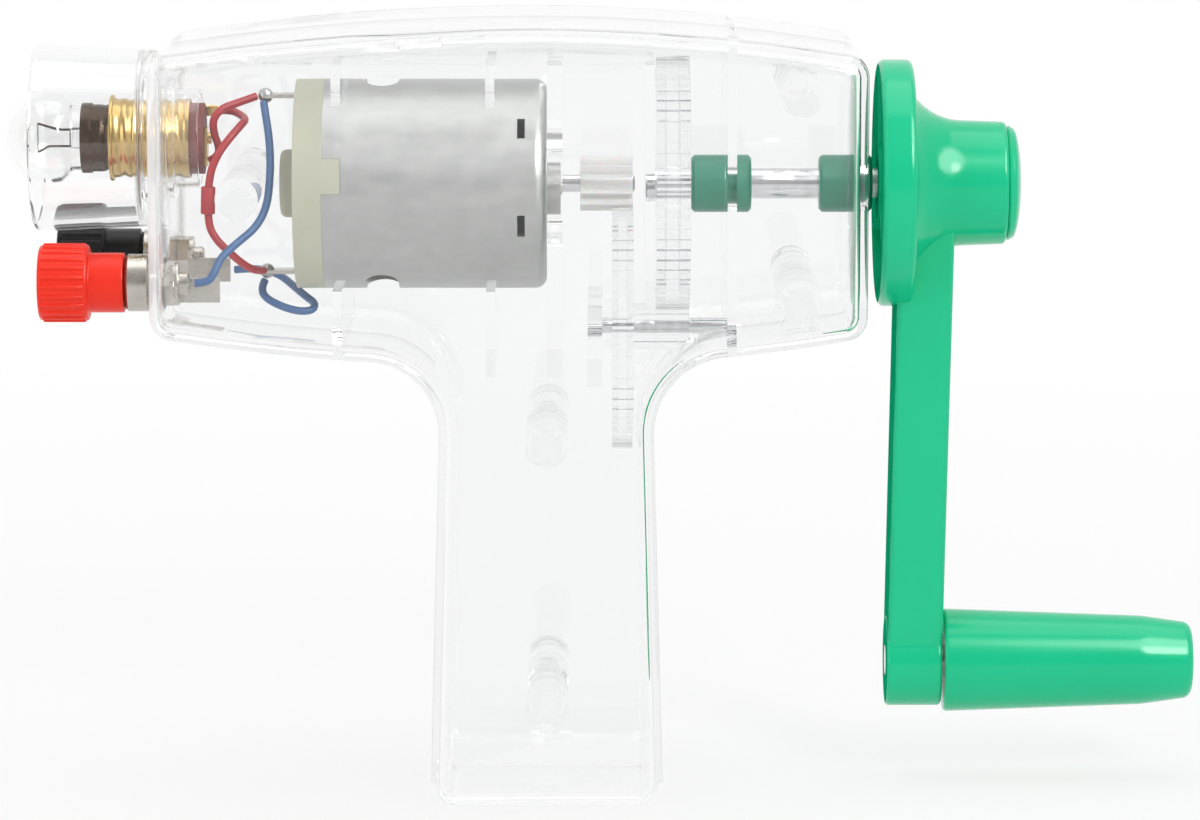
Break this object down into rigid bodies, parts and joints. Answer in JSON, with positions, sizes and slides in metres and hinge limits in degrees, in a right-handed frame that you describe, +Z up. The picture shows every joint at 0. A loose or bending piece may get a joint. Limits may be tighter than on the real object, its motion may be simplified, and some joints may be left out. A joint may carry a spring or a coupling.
{
  "type": "hand crank generator",
  "caption": "Clear pistol-shaped hand crank generator with a gear train, small motor, screw-base lamp, two binding posts and a crank with a turning grip.",
  "frame": {"origin": "middle of the handle's flat foot, where the generator stands", "axes": "+X along the shafts towards the crank, +Y from the near side to the far side, +Z up the handle"},
  "size_m": [0.1584, 0.04, 0.1027],
  "materials": {
    "clear_plastic": "clear polished polystyrene",
    "brass": "bright rolled brass",
    "red_fibre": "matt red-brown fibre",
    "bulb_glass": "clear thin glass",
    "nickel": "dull nickel plate",
    "dark_glass": "black glass insulator",
    "steel": "bright turned steel",
    "red_plastic": "moulded, satin",
    "black_plastic": "moulded, satin",
    "motor_steel": "zinc plated, satin",
    "cream_nylon": "moulded cream plastic",
    "carbon": "matt carbon",
    "bronze": "sintered bronze",
    "ferrite": "matt dark ferrite",
    "copper_wire": "enamelled copper",
    "white_nylon": "moulded milky nylon",
    "green_bush": "moulded dark green",
    "green_plastic": "glossy moulded green",
    "red_wire": "red insulated wire",
    "blue_wire": "blue insulated wire",
    "solder": "dull solder"
  },
  "bodies": {
    "housing": {"housing_near": "clear_plastic", "housing_far": "clear_plastic", "lamp_shroud": "clear_plastic", "lamp_socket": "brass", "socket_disc": "red_fibre", "socket_contact": "brass", "post_studs": "nickel", "post_collars": "nickel", "post_nuts": "nickel", "solder_tags": "nickel", "motor_can": "motor_steel", "motor_end_bell": "cream_nylon", "motor_terminals": "brass", "motor_brushes": "carbon", "motor_bearings": "bronze", "motor_magnets": "ferrite", "inner_bush": "green_bush", "outer_bush": "green_bush", "red_wire_lamp": "red_wire", "red_wire_return": "red_wire", "heat_sleeve": "red_wire", "blue_wire_red_post": "blue_wire", "blue_wire_black_post": "blue_wire", "solder_joints": "solder"},
    "crank": {"crank_shaft": "steel", "crank_gear": "clear_plastic", "crank": "green_plastic", "crank_cap": "green_plastic", "crank_screw": "steel", "grip_pin": "steel"},
    "grip": {"crank_grip": "green_plastic"},
    "layshaft": {"layshaft": "steel", "compound_gear": "clear_plastic"},
    "rotor": {"motor_shaft": "steel", "armature_core": "steel", "armature_windings": "copper_wire", "commutator": "copper_wire", "motor_pinion": "white_nylon"},
    "red_knob": {"red_knob": "red_plastic"},
    "black_knob": {"black_knob": "black_plastic"},
    "bulb": {"bulb_glass": "bulb_glass", "bulb_base": "nickel", "bulb_contact": "dark_glass", "bulb_filament": "steel"}
  },
  "joints": [
    {"name": "crank_spin", "type": "hinge", "parent": "housing", "child": "crank", "pos_m": [0.03, 0, 0.0805], "axis": [1, 0, 0], "continuous": true},
    {"name": "layshaft_spin", "type": "hinge", "parent": "housing", "child": "layshaft", "pos_m": [0.015, 0, 0.0615], "axis": [1, 0, 0], "continuous": true},
    {"name": "rotor_spin", "type": "hinge", "parent": "housing", "child": "rotor", "pos_m": [0, 0, 0.0805], "axis": [1, 0, 0], "continuous": true},
    {"name": "grip_spin", "type": "hinge", "parent": "crank", "child": "grip", "pos_m": [0.053, 0, 0.016], "axis": [1, 0, 0], "continuous": true},
    {"name": "red_knob_unscrew", "type": "slide", "parent": "housing", "child": "red_knob", "axis": [-1, 0, 0], "range_m": [0, 0.003]},
    {"name": "black_knob_unscrew", "type": "slide", "parent": "housing", "child": "black_knob", "axis": [-1, 0, 0], "range_m": [0, 0.003]},
    {"name": "bulb_unscrew", "type": "slide", "parent": "housing", "child": "bulb", "axis": [-1, 0, 0], "range_m": [0, 0.009]}
  ],
  "couplings": [
    {"joint": "layshaft_spin", "follows": "crank_spin", "ratio": -6.6},
    {"joint": "rotor_spin", "follows": "crank_spin", "ratio": 35.2}
  ]
}
